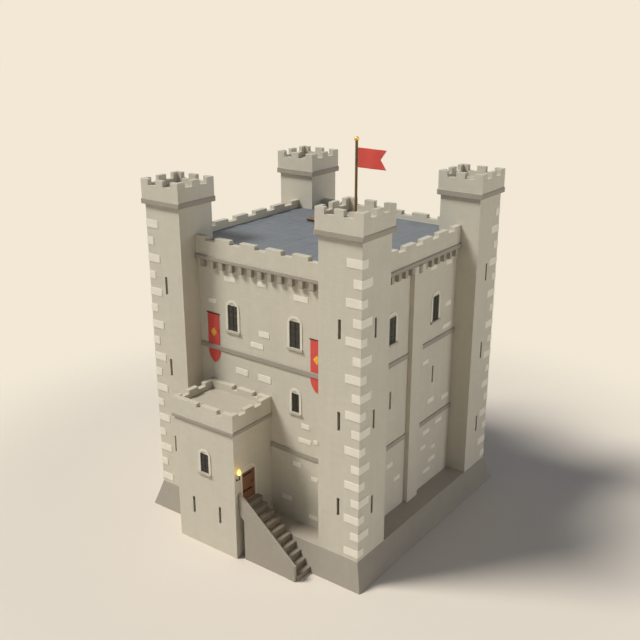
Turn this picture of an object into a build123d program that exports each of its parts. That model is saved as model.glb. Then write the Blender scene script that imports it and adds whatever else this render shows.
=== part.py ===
"""Square stone castle keep with corner towers, a forebuilding and an outer entrance stair.

Millimetres. The origin is on the ground at the keep's centre, +X to the right of the front,
+Y to the back and +Z up. Every side piece is drawn on the front, where y is negative, and
turned about the centre to its own side.
"""
import os

from build123d import *

# Plan of the keep, measured from its centre
tower_face = 10000          # outer faces of the corner towers
tower_side = 3540
tower_wall = 900
wall_setback = 1770         # from the towers' faces to the walls between them
wall_thickness = 2300

# Heights of the storeys
entrance_level = 4570
entrance_storey = 3830
middle_storey = 6850
upper_storey = 6840         # to the bed that the parapet's string course rests on
tower_rise = 4060           # the towers' tops above the walls' tops
plinth_height = 2125
plinth_spread = 650         # how far the battered foot stands out beyond the towers

# Floors and roofs
floor_thickness = 350
roof_thickness = 350
roof_rise = 1110            # roof surface above the walls' tops
tower_deck_rise = 750       # deck surface above the towers' tops
tower_deck_thickness = 250

# String courses on the walls
string_height = 500
string_depth = 100

# Parapet of the walls
parapet_projection = 200
parapet_thickness = 680
parapet_string_height = 340
parapet_string_lip = 150
parapet_height = 1170       # from the string course to the sills between the merlons
merlon_height = 300
merlon_pitch = 2460
merlon_gap = 1000

# Corbel table under the parapet
corbel_pitch = 953
corbel_width = 220
corbel_height = 540
corbel_depth = 330
corbel_chamfer = 80
corbel_count = 13

# Parapets of the towers
tower_band_height = 430
tower_band_projection = 250
tower_parapet_projection = 180
tower_parapet_thickness = 450
tower_parapet_height = 1060
tower_merlon_height = 450
tower_merlon_parts = 5      # three merlons and two gaps of one width

# Pilaster buttresses
pilaster_width = 1600
pilaster_depth = 370

# Windows; each sill is measured from the floor that it lights
window_offset = 3020
side_window_offset = 3220   # on the right, back and left sides
window_width = 980
window_height = 2050
window_rise = 1480
small_window_width = 700
small_window_height = 1520
small_window_rise = 3140
surround_band = 210
surround_crown = 430        # from the head of the light to the top of the surround
surround_depth = 50
sill_height = 180
sill_overhang = 30
sill_depth = 140
glass_setback = 40
glass_thickness = 40
window_splay = 350          # how much each jamb widens through the wall

# Arrow slits; each middle is measured from its floor
slit_width = 240
slit_height = 1450
slit_splay = 230
entrance_slit_rise = 1580
tower_slit_rise = 4600
wall_slit_rise = 3675
cut_margin = 10             # how far a cut runs past the wall's faces

# Forebuilding
fore_right = 550
fore_width = 5980
fore_reach = 2600           # in front of the towers
fore_wall = 750
fore_height = 10550
fore_string_height = 320
fore_string_lip = 180
fore_parapet_projection = 100
fore_parapet_thickness = 700
fore_deck_rise = 730        # deck surface above the string course
fore_parapet_height = 1080
fore_merlon_height = 280
fore_gap_x = 460
fore_gap_x_first = 1215     # from the right face to the first gap's middle
fore_gap_x_pitch = 2060
fore_gap_y = 800
fore_gap_y_first = 975      # from the front face to the first gap's middle
fore_gap_y_pitch = 1800
fore_base_level = 300
fore_window_width = 840
fore_window_height = 1600
fore_window_rise = 1980
fore_slit_offset = 1370     # to each side of the forebuilding's middle
fore_slit_drop = 1295       # from the entrance floor down to the slits' middle

# Entrance door and the doorways
door_corner = 850           # from the forebuilding's front face to the jamb that the leaf is hung on
door_width = 1490
door_height = 2480
door_surround_band = 140
door_surround_crown = 540
door_surround_depth = 40
door_setback = 60
door_rebate = 60
leaf_thickness = 120
leaf_gap = 8
latch_gap = 22
leaf_seat_gap = 10
pin_radius = 12
pin_offset = 25             # from the pier and from the leaf to the pins' axis
pin_clearance = 0.5
eye_wall = 8
eye_height = 100
eye_seat = 0.5
pintle_height = 40
strap_length = 1050
strap_height = 150
eye_plate_height = 90
strap_thickness = 15
strap_rises = (830, 2180)
strap_inset = 100
ring_radius = 110
ring_wire = 14
ring_rise = 1350
ring_inset = 260
inner_door_width = 1500
inner_door_spring = 2000    # from the floor to where the round head starts

# Entrance stair
riser_count = 10
going = 559
stair_corner = 550          # from the forebuilding's front face back to the stair
landing_width = 520
landing_thickness = 500
balustrade_thickness = 250
balustrade_over_nosing = 690
balustrade_under_nosing = 1100
balustrade_proud = 40       # in front of the stair's outer face
balustrade_gap = 100        # from the forebuilding
balustrade_short = 150      # from the last riser back to the balustrade's end

# Roof hatch
hatch_x = -4100
hatch_y = 2500
hatch_side = 2200
hatch_curb = 150
hatch_curb_inset = 60
hatch_lid = 150

# Flagpole and flag
pole_length = 5470          # from the tower's deck to the middle of the ball
pole_radius = 90
ball_radius = 160
pole_socket_radius = 200
pole_socket_height = 300
flag_length = 2200
flag_height = 1280
flag_drop = 540             # from the middle of the ball to the flag's top
flag_notch = 450
flag_thickness = 20

# Banners on the front wall, hung from rods
banner_x = 5050
banner_width = 1200
banner_length = 3300        # from the rod to where the sides end
banner_foot = 840           # from there to the tip
banner_bulge = 0.62         # share of the half width and of the foot where its curves pass
banner_gap = 30
banner_thickness = 12
banner_chase = 15           # room left round the cloth where it passes behind a string course
cloth_clearance = 0.3
rod_rise = 2550             # above the upper floor
rod_radius = 35
rod_length = 1350

# Torch beside the door: an arm that slopes up from the wall to a stem
torch_corner = 250          # from the forebuilding's front face
torch_wall_rise = 2210      # above the entrance floor
torch_elbow_rise = 2370
torch_stem_rise = 2630
torch_reach = 300
torch_iron = 60
torch_cup_radius = 90
torch_cup_height = 100
torch_plate = 20
torch_plate_half = 80

wall_face = tower_face - wall_setback
wall_inner = wall_face - wall_thickness
tower_inner = tower_face - tower_side
tower_centre = tower_face - tower_side / 2
first_level = entrance_level + entrance_storey
second_level = first_level + middle_storey
wall_top = second_level + upper_storey
roof_level = wall_top + roof_rise
tower_top = wall_top + tower_rise
tower_deck_level = tower_top + tower_deck_rise
parapet_face = wall_face + parapet_projection
parapet_inner = parapet_face - parapet_thickness
parapet_sill = wall_top + parapet_string_height + parapet_height
tower_sill = tower_top + tower_band_height + tower_parapet_height
string_bottom_upper = second_level - string_height
string_bottom_lower = first_level - string_height

fore_left = fore_right - fore_width
fore_middle = fore_right - fore_width / 2
fore_front = -tower_face - fore_reach
fore_inner_left = fore_left + fore_wall
fore_inner_right = fore_right - fore_wall
fore_inner_front = fore_front + fore_wall
fore_string_top = fore_height + fore_string_height
fore_deck_level = fore_string_top + fore_deck_rise
fore_sill = fore_string_top + fore_parapet_height

door_front = fore_front + door_corner
door_back = door_front + door_width
door_head = entrance_level + door_height
leaf_pier = door_front - door_rebate          # pier faces behind the rebate
leaf_far_pier = door_back + door_rebate
rebate_head = door_head + door_rebate
rebate_x = fore_right - door_setback
leaf_outer = rebate_x - leaf_seat_gap
leaf_inner = leaf_outer - leaf_thickness
leaf_hung = leaf_pier + leaf_gap
leaf_free = leaf_far_pier - latch_gap
hinge_x = leaf_inner - pin_offset
hinge_y = leaf_pier + pin_offset

riser = entrance_level / riser_count
stair_front = fore_front + stair_corner       # the balustrade's inner face
stair_back = -tower_face
landing_nose = fore_right + landing_width
stair_end = landing_nose + (riser_count - 1) * going
balustrade_end = stair_end - balustrade_short

rod_height = second_level + rod_rise
banner_side_bottom = rod_height - banner_length
banner_tip = banner_side_bottom - banner_foot
ball_height = tower_deck_level + pole_length
ball_seat = (ball_radius**2 - pole_radius**2) ** 0.5     # from the ball's middle down to its flat
flag_top = ball_height - flag_drop
torch_y = fore_front + torch_corner

towers = {"front_left": (-1, -1), "front_right": (1, -1), "back_left": (-1, 1), "back_right": (1, 1)}
sides = {"front": 0, "right": 1, "back": 2, "left": 3}     # quarter turns from the front


def block(x0, x1, y0, y1, z0, z1):
    """Box between two corners."""
    return Pos((x0 + x1) / 2, (y0 + y1) / 2, (z0 + z1) / 2) * Box(x1 - x0, y1 - y0, z1 - z0)


def prism(points, z0, z1):
    """Plan outline raised from z0 to z1."""
    return Pos(0, 0, z0) * extrude(make_face(Polyline(*points, close=True)), z1 - z0)


def profile_along_x(points, x0, x1):
    """Outline in y and z drawn out along x."""
    plane = Plane(origin=(x0, 0, 0), x_dir=(0, 1, 0), z_dir=(1, 0, 0))
    return extrude(plane * make_face(Polyline(*points, close=True)), x1 - x0)


def profile_along_y(points, y0, y1):
    """Outline in x and z drawn out along y."""
    plane = Plane(origin=(0, y1, 0), x_dir=(1, 0, 0), z_dir=(0, -1, 0))
    return extrude(plane * make_face(Polyline(*points, close=True)), y1 - y0)


def on_side(quarter, shape):
    """Turn a piece drawn on the front to the right, back or left side."""
    return Rot(0, 0, 90 * quarter) * shape


def splayed_hole(x, sill, width, height, splay, outer_face, inner_face, reveal):
    """Opening that is straight for the reveal and widens from there to the inner face."""
    half = width / 2
    plan = [
        (x - half, -outer_face - cut_margin),
        (x + half, -outer_face - cut_margin),
        (x + half, -outer_face + reveal),
        (x + half + splay, -inner_face + cut_margin),
        (x - half - splay, -inner_face + cut_margin),
        (x - half, -outer_face + reveal),
    ]
    return prism(plan, sill, sill + height)


def arch_outline(x, foot, width, spring):
    """Round-headed outline in x and z on a given upright plane."""
    half = width / 2
    sides = Polyline((x - half, spring), (x - half, foot), (x + half, foot), (x + half, spring))
    head = ThreePointArc((x + half, spring), (x, spring + half), (x - half, spring))
    return make_face(Curve() + [sides, head])


def arch_band(plane, x, foot, width, spring, band, depth):
    """Dressed stone band of one width up both sides of an opening and round over it."""
    outer = extrude(plane * arch_outline(x, foot, width + 2 * band, spring), depth)
    return outer - extrude(plane * arch_outline(x, foot, width, spring), depth)


def window_surround(x, sill, width, height):
    """Round-headed band on the wall face, cut square where it crosses the head of the light."""
    spring = sill + height + surround_crown - width / 2 - surround_band
    plane = Plane(origin=(0, 0, 0), x_dir=(1, 0, 0), z_dir=(0, -1, 0))
    band = arch_band(plane, x, sill, width, spring, surround_band, surround_depth)
    return band - block(x - width / 2, x + width / 2, -surround_depth, 0, sill, sill + height)


def window_sill_stone(x, sill, width, height):
    half = width / 2 + surround_band + sill_overhang
    return block(x - half, x + half, -sill_depth, 0, sill - sill_height, sill)


def window_pane(x, sill, width, height, face):
    """Glass set back in the reveal."""
    outer = -face + glass_setback
    return block(x - width / 2, x + width / 2, outer, outer + glass_thickness, sill, sill + height)


def merlon_wall(x0, x1, y0, y1, z0, sill, top, gaps):
    """Parapet with gaps between its merlons; each gap is a pair of x values."""
    wall = block(x0, x1, y0, y1, z0, top)
    for left, right in gaps:
        wall = wall - block(left, right, y0, y1, sill, top)
    return wall


def battered_plinth():
    foot = tower_face + plinth_spread
    low = Rectangle(2 * foot, 2 * foot)
    high = Pos(0, 0, plinth_height) * Rectangle(2 * tower_face, 2 * tower_face)
    return loft([low, high], ruled=True)


def side_wall(windows, slits):
    """Wall between two towers, mitred to its neighbours at the inner corners."""
    plan = [
        (-tower_inner, -wall_face),
        (tower_inner, -wall_face),
        (tower_inner, -tower_inner),
        (wall_inner, -wall_inner),
        (-wall_inner, -wall_inner),
        (-tower_inner, -tower_inner),
    ]
    wall = prism(plan, plinth_height, wall_top)
    ledge = [
        (-tower_inner, -parapet_inner),
        (tower_inner, -parapet_inner),
        (tower_inner, -tower_inner),
        (wall_inner, -wall_inner),
        (-wall_inner, -wall_inner),
        (-tower_inner, -tower_inner),
    ]
    wall = wall + prism(ledge, wall_top, roof_level - roof_thickness)
    for x, sill, width, height in windows:
        wall = wall - splayed_hole(x, sill, width, height, window_splay,
                                   wall_face, wall_inner, glass_setback + glass_thickness)
    for x in slits:
        wall = wall - splayed_hole(x, first_level + wall_slit_rise - slit_height / 2, slit_width,
                                   slit_height, slit_splay, wall_face, wall_inner, 0)
    return wall


def tower_slits(facing):
    """Cuts for the slits in a tower's outward wall on one side, about the tower's centre."""
    half = tower_side / 2
    middles = (entrance_level + entrance_slit_rise, first_level + tower_slit_rise,
               second_level + tower_slit_rise)
    slits = []
    for middle in middles:
        slit = splayed_hole(0, middle - slit_height / 2, slit_width, slit_height, slit_splay,
                            half, half - tower_wall, 0)
        slits.append(on_side(facing, slit))
    return slits


def tower_side_walls(sign_x, sign_y):
    """A tower's left and right walls, over its full depth; the outward one has slits."""
    half = tower_side / 2
    walls = []
    for side in (-1, 1):
        near, far = sorted((side * (half - tower_wall), side * half))
        wall = block(near, far, -half, half, plinth_height, tower_top)
        if side == sign_x:
            for slit in tower_slits(1 if sign_x > 0 else 3):
                wall = wall - slit
        walls.append(wall)
    return Pos(sign_x * tower_centre, sign_y * tower_centre, 0) * Compound(walls)


def tower_end_walls(sign_x, sign_y):
    """A tower's front and back walls, between the others; the outward one has slits."""
    half = tower_side / 2
    room = half - tower_wall
    walls = []
    for side in (-1, 1):
        near, far = sorted((side * room, side * half))
        wall = block(-room, room, near, far, plinth_height, tower_top)
        if side == sign_y:
            for slit in tower_slits(0 if sign_y < 0 else 2):
                wall = wall - slit
        walls.append(wall)
    return Pos(sign_x * tower_centre, sign_y * tower_centre, 0) * Compound(walls)


def square_ring(outer, inner, z0, z1):
    """Square frame about the origin, given by its half widths."""
    ring = block(-outer, outer, -outer, outer, z0, z1)
    return ring - block(-inner, inner, -inner, inner, z0, z1)


def tower_parapet(sign_x, sign_y):
    """Parapet round a tower, with a merlon in each corner and in the middle of each side."""
    outer = tower_side / 2 + tower_parapet_projection
    inner = outer - tower_parapet_thickness
    top = tower_sill + tower_merlon_height
    ring = square_ring(outer, inner, tower_top + tower_band_height, top)
    part = 2 * outer / tower_merlon_parts
    for side in (-1, 1):
        centre = side * part
        ring = ring - block(centre - part / 2, centre + part / 2, -outer, outer, tower_sill, top)
        ring = ring - block(-outer, outer, centre - part / 2, centre + part / 2, tower_sill, top)
    return Pos(sign_x * tower_centre, sign_y * tower_centre, 0) * ring


def tower_band(sign_x, sign_y):
    outer = tower_side / 2 + tower_band_projection
    inner = tower_side / 2 + tower_parapet_projection - tower_parapet_thickness
    band = square_ring(outer, inner, tower_top, tower_top + tower_band_height)
    return Pos(sign_x * tower_centre, sign_y * tower_centre, 0) * band


def tower_deck(sign_x, sign_y):
    half = tower_side / 2 + tower_parapet_projection - tower_parapet_thickness
    deck = block(-half, half, -half, half, tower_deck_level - tower_deck_thickness, tower_deck_level)
    return Pos(sign_x * tower_centre, sign_y * tower_centre, 0) * deck


def wall_parapet():
    """Parapet between two towers, its gaps spaced from the middle of the side."""
    gaps = []
    for step in (-2, -1, 0, 1, 2):
        centre = step * merlon_pitch
        gaps.append((centre - merlon_gap / 2, centre + merlon_gap / 2))
    return merlon_wall(-tower_inner, tower_inner, -parapet_face, -parapet_inner,
                       wall_top + parapet_string_height, parapet_sill,
                       parapet_sill + merlon_height, gaps)


def parapet_string():
    outer = parapet_face + parapet_string_lip
    return block(-tower_inner, tower_inner, -outer, -parapet_inner,
                 wall_top, wall_top + parapet_string_height)


def parapet_strings():
    """String courses that the parapets of the walls stand on."""
    return Compound([on_side(quarter, parapet_string()) for quarter in sides.values()])


def wall_parapets():
    return Compound([on_side(quarter, wall_parapet()) for quarter in sides.values()])


def tower_parapets():
    return Compound([tower_parapet(*signs) for signs in towers.values()])


def tower_string_bands():
    return Compound([tower_band(*signs) for signs in towers.values()])


def tower_decks():
    return Compound([tower_deck(*signs) for signs in towers.values()])


def wall_string(bottom, breaks):
    """Bars of a string course on one side, left out between each pair of x values."""
    edges = [-tower_inner]
    for left, right in breaks:
        edges += [left, right]
    edges.append(tower_inner)
    bars = []
    for left, right in zip(edges[0::2], edges[1::2]):
        bars.append(block(left, right, -wall_face - string_depth, -wall_face,
                          bottom, bottom + string_height))
    return bars


def string_courses():
    """Both string courses on all four sides; the front one has chases for the banners."""
    pilaster = (-pilaster_width / 2, pilaster_width / 2)
    bars = wall_string(string_bottom_lower, [(fore_left, fore_right)])
    chase_half = banner_width / 2 + banner_chase
    chase_front = wall_face + banner_gap + banner_thickness + banner_chase
    for bar in wall_string(string_bottom_upper, []):
        for x in (-banner_x, banner_x):
            bar = bar - block(x - chase_half, x + chase_half, -chase_front, -wall_face,
                              string_bottom_upper, string_bottom_upper + string_height)
        bars.append(bar)
    for quarter in (1, 2, 3):
        for bottom in (string_bottom_lower, string_bottom_upper):
            bars += [on_side(quarter, bar) for bar in wall_string(bottom, [pilaster])]
    return Compound(bars)


def corbel(x):
    """Block whose lower front edge is cut back."""
    foot = wall_top - corbel_height
    front = -wall_face - corbel_depth
    outline = [(front + corbel_chamfer, foot), (-wall_face, foot), (-wall_face, wall_top),
               (front, wall_top), (front, foot + corbel_chamfer)]
    return profile_along_x(outline, x - corbel_width / 2, x + corbel_width / 2)


def corbel_table():
    """Corbels on all four sides, left out where a pilaster rises through them."""
    corbels = []
    places = [(index - (corbel_count - 1) / 2) * corbel_pitch for index in range(corbel_count)]
    clear_of_pilaster = (pilaster_width + corbel_width) / 2
    for quarter in sides.values():
        for x in places:
            if quarter == 0 or abs(x) > clear_of_pilaster:
                corbels.append(on_side(quarter, corbel(x)))
    return Compound(corbels)


def pilaster_buttresses():
    """One in the middle of each side but the front, from the plinth to the parapet's string."""
    half = pilaster_width / 2
    shaft = block(-half, half, -wall_face - pilaster_depth, -wall_face, plinth_height, wall_top)
    return Compound([on_side(quarter, shaft) for quarter in (1, 2, 3)])


def roof_deck():
    """Flat roof between the parapets, cut back at the towers."""
    low = roof_level - roof_thickness
    deck = block(-tower_inner, tower_inner, -parapet_inner, parapet_inner, low, roof_level)
    return deck + block(-parapet_inner, parapet_inner, -tower_inner, tower_inner, low, roof_level)


def roof_hatch():
    """Curb with a lid that oversails it."""
    low = hatch_curb_inset
    high = hatch_side - hatch_curb_inset
    curb = block(hatch_x + low, hatch_x + high, hatch_y + low, hatch_y + high,
                 roof_level, roof_level + hatch_curb)
    lid = block(hatch_x, hatch_x + hatch_side, hatch_y, hatch_y + hatch_side,
                roof_level + hatch_curb, roof_level + hatch_curb + hatch_lid)
    return curb + lid


def storey_floors():
    """Floors of the hall at three levels, and of the tower rooms at the upper two."""
    floors = []
    for level in (entrance_level, first_level, second_level):
        floors.append(block(-wall_inner, wall_inner, -wall_inner, wall_inner,
                            level - floor_thickness, level))
    room_half = tower_side / 2 - tower_wall
    for level in (first_level, second_level):
        for sign_x in (-1, 1):
            for sign_y in (-1, 1):
                floor = block(-room_half, room_half, -room_half, room_half,
                              level - floor_thickness, level)
                floors.append(Pos(sign_x * tower_centre, sign_y * tower_centre, 0) * floor)
    return Compound(floors)


window_sill = second_level + window_rise
small_window_sill = first_level + small_window_rise
fore_window_sill = entrance_level + fore_window_rise
front_windows = [
    (-window_offset, window_sill, window_width, window_height),
    (window_offset, window_sill, window_width, window_height),
    (window_offset, small_window_sill, small_window_width, small_window_height),
]
side_windows = [
    (-side_window_offset, window_sill, window_width, window_height),
    (side_window_offset, window_sill, window_width, window_height),
]
side_slits = [-side_window_offset, side_window_offset]
fore_window = (fore_middle, fore_window_sill, fore_window_width, fore_window_height)


def on_windows(piece):
    """One piece made for every window, each on its wall's face."""
    made = [Pos(0, -wall_face, 0) * piece(*window) for window in front_windows]
    for quarter in (1, 2, 3):
        for window in side_windows:
            made.append(on_side(quarter, Pos(0, -wall_face, 0) * piece(*window)))
    made.append(Pos(0, fore_front, 0) * piece(*fore_window))
    return made


def opening_surrounds():
    """Surrounds of all the windows and of the entrance, on their walls."""
    return Compound(on_windows(window_surround) + [door_surround()])


def window_sills():
    return Compound(on_windows(window_sill_stone))


def window_panes():
    panes = [window_pane(*window, wall_face) for window in front_windows]
    for quarter in (1, 2, 3):
        panes += [on_side(quarter, window_pane(*window, wall_face)) for window in side_windows]
    panes.append(window_pane(*fore_window, -fore_front))
    return Compound(panes)


def fore_side_profile(top):
    """Side wall outline in y and z: it stands on the ground and steps over the batter."""
    return [
        (fore_front, 0),
        (-tower_face - plinth_spread, 0),
        (-tower_face, plinth_height),
        (-wall_face, plinth_height),
        (-wall_face, top),
        (fore_front, top),
    ]


def forebuilding_front_wall():
    wall = block(fore_inner_left, fore_inner_right, fore_front, fore_inner_front, 0, fore_height)
    x, sill, width, height = fore_window
    wall = wall - splayed_hole(x, sill, width, height, slit_splay,
                               -fore_front, -fore_inner_front, glass_setback + glass_thickness)
    slit_foot = entrance_level - fore_slit_drop - slit_height / 2
    for x in (fore_middle - fore_slit_offset, fore_middle + fore_slit_offset):
        wall = wall - splayed_hole(x, slit_foot, slit_width, slit_height,
                                   slit_splay, -fore_front, -fore_inner_front, 0)
    return wall


def forebuilding_left_wall():
    return profile_along_x(fore_side_profile(fore_height), fore_left, fore_inner_left)


def forebuilding_right_wall_base():
    return profile_along_x(fore_side_profile(entrance_level), fore_inner_right, fore_right)


def forebuilding_door_piers():
    """Piers beside the doorway, each with a shoulder that the closed leaf stands behind."""
    low, high = entrance_level, rebate_head
    front = block(fore_inner_right, fore_right, fore_front, leaf_pier, low, high)
    front = front + block(rebate_x, fore_right, leaf_pier, door_front, low, high)
    back = block(fore_inner_right, fore_right, leaf_far_pier, -wall_face, low, high)
    back = back + block(rebate_x, fore_right, door_back, leaf_far_pier, low, high)
    return Compound([front, back])


def forebuilding_door_head():
    """Wall over the doorway, with the rebate's lip on its underside."""
    head = block(fore_inner_right, fore_right, fore_front, -wall_face, rebate_head, fore_height)
    return head + block(rebate_x, fore_right, door_front, door_back, door_head, rebate_head)


def fore_ring(x_out, y_out, x_in, y_in, y_back, z0, z1):
    """Frame round the forebuilding's top; the values are insets (negative is outward)."""
    ring = block(fore_left + x_out, fore_right - x_out, fore_front + y_out, -wall_face, z0, z1)
    return ring - block(fore_left + x_in, fore_right - x_in, fore_front + y_in, y_back, z0, z1)


def forebuilding_string():
    return fore_ring(-fore_string_lip, -fore_string_lip, fore_wall, fore_wall, -wall_face,
                     fore_height, fore_string_top)


def forebuilding_parapet():
    inset = fore_parapet_thickness - fore_parapet_projection
    top = fore_sill + fore_merlon_height
    back = -wall_face - fore_parapet_thickness
    ring = fore_ring(-fore_parapet_projection, -fore_parapet_projection, inset, inset, back,
                     fore_string_top, top)
    reach = 2 * fore_parapet_projection
    for gap in (0, 1):
        x = fore_right - fore_gap_x_first - gap * fore_gap_x_pitch
        ring = ring - block(x - fore_gap_x / 2, x + fore_gap_x / 2, fore_front - reach, -wall_face,
                            fore_sill, top)
        y = fore_front + fore_gap_y_first + gap * fore_gap_y_pitch
        ring = ring - block(fore_left - reach, fore_right + reach, y - fore_gap_y / 2,
                            y + fore_gap_y / 2, fore_sill, top)
    return ring


def forebuilding_deck():
    inset = fore_parapet_thickness - fore_parapet_projection
    return block(fore_left + inset, fore_right - inset, fore_front + inset,
                 -wall_face - fore_parapet_thickness, fore_string_top, fore_deck_level)


def forebuilding_floors():
    """Ground floor, entrance floor and roof deck of the forebuilding."""
    upper = block(fore_inner_left, fore_inner_right, fore_inner_front, -wall_face,
                  entrance_level - floor_thickness, entrance_level)
    foot = tower_face + plinth_spread
    at_level = foot - plinth_spread * fore_base_level / plinth_height
    outline = [(fore_inner_front, 0), (-foot, 0), (-at_level, fore_base_level),
               (fore_inner_front, fore_base_level)]
    lower = profile_along_x(outline, fore_inner_left, fore_inner_right)
    return Compound([lower, upper, forebuilding_deck()])


def door_surround():
    """Dressed round-headed band of the entrance, cut square where it crosses the doorway's head."""
    centre = (door_front + door_back) / 2
    spring = door_head + door_surround_crown - door_width / 2 - door_surround_band
    plane = Plane(origin=(fore_right, 0, 0), x_dir=(0, 1, 0), z_dir=(1, 0, 0))
    band = arch_band(plane, centre, entrance_level, door_width, spring, door_surround_band,
                     door_surround_depth)
    return band - block(fore_right, fore_right + door_surround_depth, door_front, door_back,
                        entrance_level, door_head)


def door_leaf():
    """Plank leaf, closed against the rebate."""
    return block(leaf_inner, leaf_outer, leaf_hung, leaf_free,
                 entrance_level + leaf_gap, rebate_head - leaf_gap)


def door_ironwork():
    """Two outer straps, the ring and the two hinge eyes behind the leaf."""
    irons = []
    strap_start = door_front + strap_inset
    for rise in strap_rises:
        level = entrance_level + rise
        strap = block(leaf_outer, leaf_outer + strap_thickness, strap_start,
                      strap_start + strap_length, level - strap_height / 2, level + strap_height / 2)
        irons.append(strap)
        eye = Cylinder(pin_radius + pin_clearance + eye_wall, eye_height)
        eye = Pos(hinge_x, hinge_y, level) * eye
        arm = block(hinge_x, leaf_inner, hinge_y - pin_radius / 2, hinge_y + pin_radius / 2 + eye_wall,
                    level - eye_height / 2, level + eye_height / 2)
        plate = block(leaf_inner - strap_thickness, leaf_inner, hinge_y,
                      hinge_y + strap_length / 2, level - eye_plate_height / 2,
                      level + eye_plate_height / 2)
        hole = Pos(hinge_x, hinge_y, level) * Cylinder(pin_radius + pin_clearance, 2 * eye_height)
        irons.append(eye + arm + plate - hole)
    ring_level = entrance_level + ring_rise
    ring_centre = door_back - ring_inset
    ring_plane = Plane(origin=(leaf_outer + ring_wire, ring_centre, ring_level), z_dir=(1, 0, 0))
    bar = Pos(ring_radius, 0, 0) * Rot(90, 0, 0) * RegularPolygon(ring_wire, 8)
    ring = ring_plane * revolve(bar, Axis.Z)
    boss = block(leaf_outer, leaf_outer + 2 * ring_wire + strap_thickness, ring_centre - 2 * ring_wire,
                 ring_centre + 2 * ring_wire, ring_level + ring_radius - 2 * ring_wire,
                 ring_level + ring_radius + 2 * ring_wire)
    irons.append(ring + boss)
    return Compound(irons)


def door_pintles():
    """Pins that the hinge eyes turn on, each on a bracket from the pier."""
    pintles = []
    for rise in strap_rises:
        level = entrance_level + rise
        foot = level - eye_height / 2 - eye_seat
        pin = Pos(hinge_x, hinge_y, (foot + level + eye_height / 2) / 2) * Cylinder(
            pin_radius, level + eye_height / 2 - foot)
        bracket = block(hinge_x - pin_radius, hinge_x + pin_radius, leaf_pier, hinge_y + pin_radius,
                        foot - pintle_height, foot)
        pintles.append(pin + bracket)
    return Compound(pintles)


def nosing_line(x):
    """Height of the line through the step noses."""
    return entrance_level - (x - landing_nose) * riser / going


def line_foot(drop):
    """Where a line that far below the noses meets the ground."""
    return landing_nose + (entrance_level - drop) * going / riser


def entrance_stair():
    """Flight against the plinth, with a landing that bridges a recess beside the forebuilding."""
    outline = [(landing_nose, 0), (landing_nose, entrance_level - landing_thickness),
               (fore_right, entrance_level - landing_thickness), (fore_right, entrance_level)]
    for step in range(riser_count):
        x = landing_nose + step * going
        outline.append((x, entrance_level - step * riser))
        outline.append((x, entrance_level - (step + 1) * riser))
    flight = profile_along_y(outline, stair_front, stair_back)
    cheek = [(landing_nose, 0), (landing_nose, entrance_level - balustrade_under_nosing),
             (line_foot(balustrade_under_nosing), 0)]
    cheek_front = stair_front - balustrade_thickness + balustrade_proud
    return flight + profile_along_y(cheek, cheek_front, stair_front) - battered_plinth()


def stair_balustrade():
    """Outer wall of the stair: a sloping slab with an upright foot."""
    top_end = fore_right + balustrade_gap
    outline = [
        (top_end, nosing_line(top_end) + balustrade_over_nosing),
        (balustrade_end, nosing_line(balustrade_end) + balustrade_over_nosing),
        (balustrade_end, 0),
        (line_foot(balustrade_under_nosing), 0),
        (top_end, nosing_line(top_end) - balustrade_under_nosing),
    ]
    return profile_along_y(outline, stair_front - balustrade_thickness, stair_front)


def flagpole():
    """Pole on the front right tower, with a socket at its foot; the ball stands on its top."""
    length = pole_length - ball_seat
    pole = Pos(0, 0, tower_deck_level + length / 2) * Cylinder(pole_radius, length)
    socket = Pos(0, 0, tower_deck_level + pole_socket_height / 2) * Cylinder(
        pole_socket_radius, pole_socket_height)
    return Pos(tower_centre, -tower_centre, 0) * (pole + socket)


def flagpole_ball():
    """Ball cut flat below, where it stands on the pole."""
    below = block(-ball_radius, ball_radius, -ball_radius, ball_radius, -ball_radius, -ball_seat)
    return Pos(tower_centre, -tower_centre, ball_height) * (Sphere(ball_radius) - below)


def flag():
    """Swallow-tailed flag."""
    x0 = tower_centre + pole_radius + cloth_clearance
    low = flag_top - flag_height
    outline = [
        (x0, low),
        (x0, flag_top),
        (x0 + flag_length, flag_top),
        (x0 + flag_length - flag_notch, flag_top - flag_height / 2),
        (x0 + flag_length, low),
    ]
    return profile_along_y(outline, -tower_centre - flag_thickness / 2,
                           -tower_centre + flag_thickness / 2)


def banner(x):
    """Hanging cloth whose foot curves in to a point."""
    half = banner_width / 2
    top = rod_height - rod_radius - cloth_clearance
    drop = banner_side_bottom - banner_tip
    sides = Polyline((-half, banner_side_bottom), (-half, top), (half, top), (half, banner_side_bottom))
    through = (half * banner_bulge, banner_side_bottom - drop * banner_bulge)
    right = ThreePointArc((half, banner_side_bottom), through, (0, banner_tip))
    left = ThreePointArc((0, banner_tip), (-through[0], through[1]), (-half, banner_side_bottom))
    back = -wall_face - banner_gap
    plane = Plane(origin=(x, back, 0), x_dir=(1, 0, 0), z_dir=(0, -1, 0))
    return extrude(plane * make_face(Curve() + [sides, right, left]), banner_thickness)


def banner_rod(x):
    """Rod with a bracket near each end."""
    y = -wall_face - banner_gap - banner_thickness / 2
    rod = Pos(x, y, rod_height) * Rot(0, 90, 0) * Cylinder(rod_radius, rod_length)
    for side in (-1, 1):
        centre = x + side * (rod_length / 2 - rod_radius)
        rod = rod + block(centre - rod_radius / 2, centre + rod_radius / 2, y, -wall_face,
                          rod_height - rod_radius / 2, rod_height + rod_radius / 2)
    return rod


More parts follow.
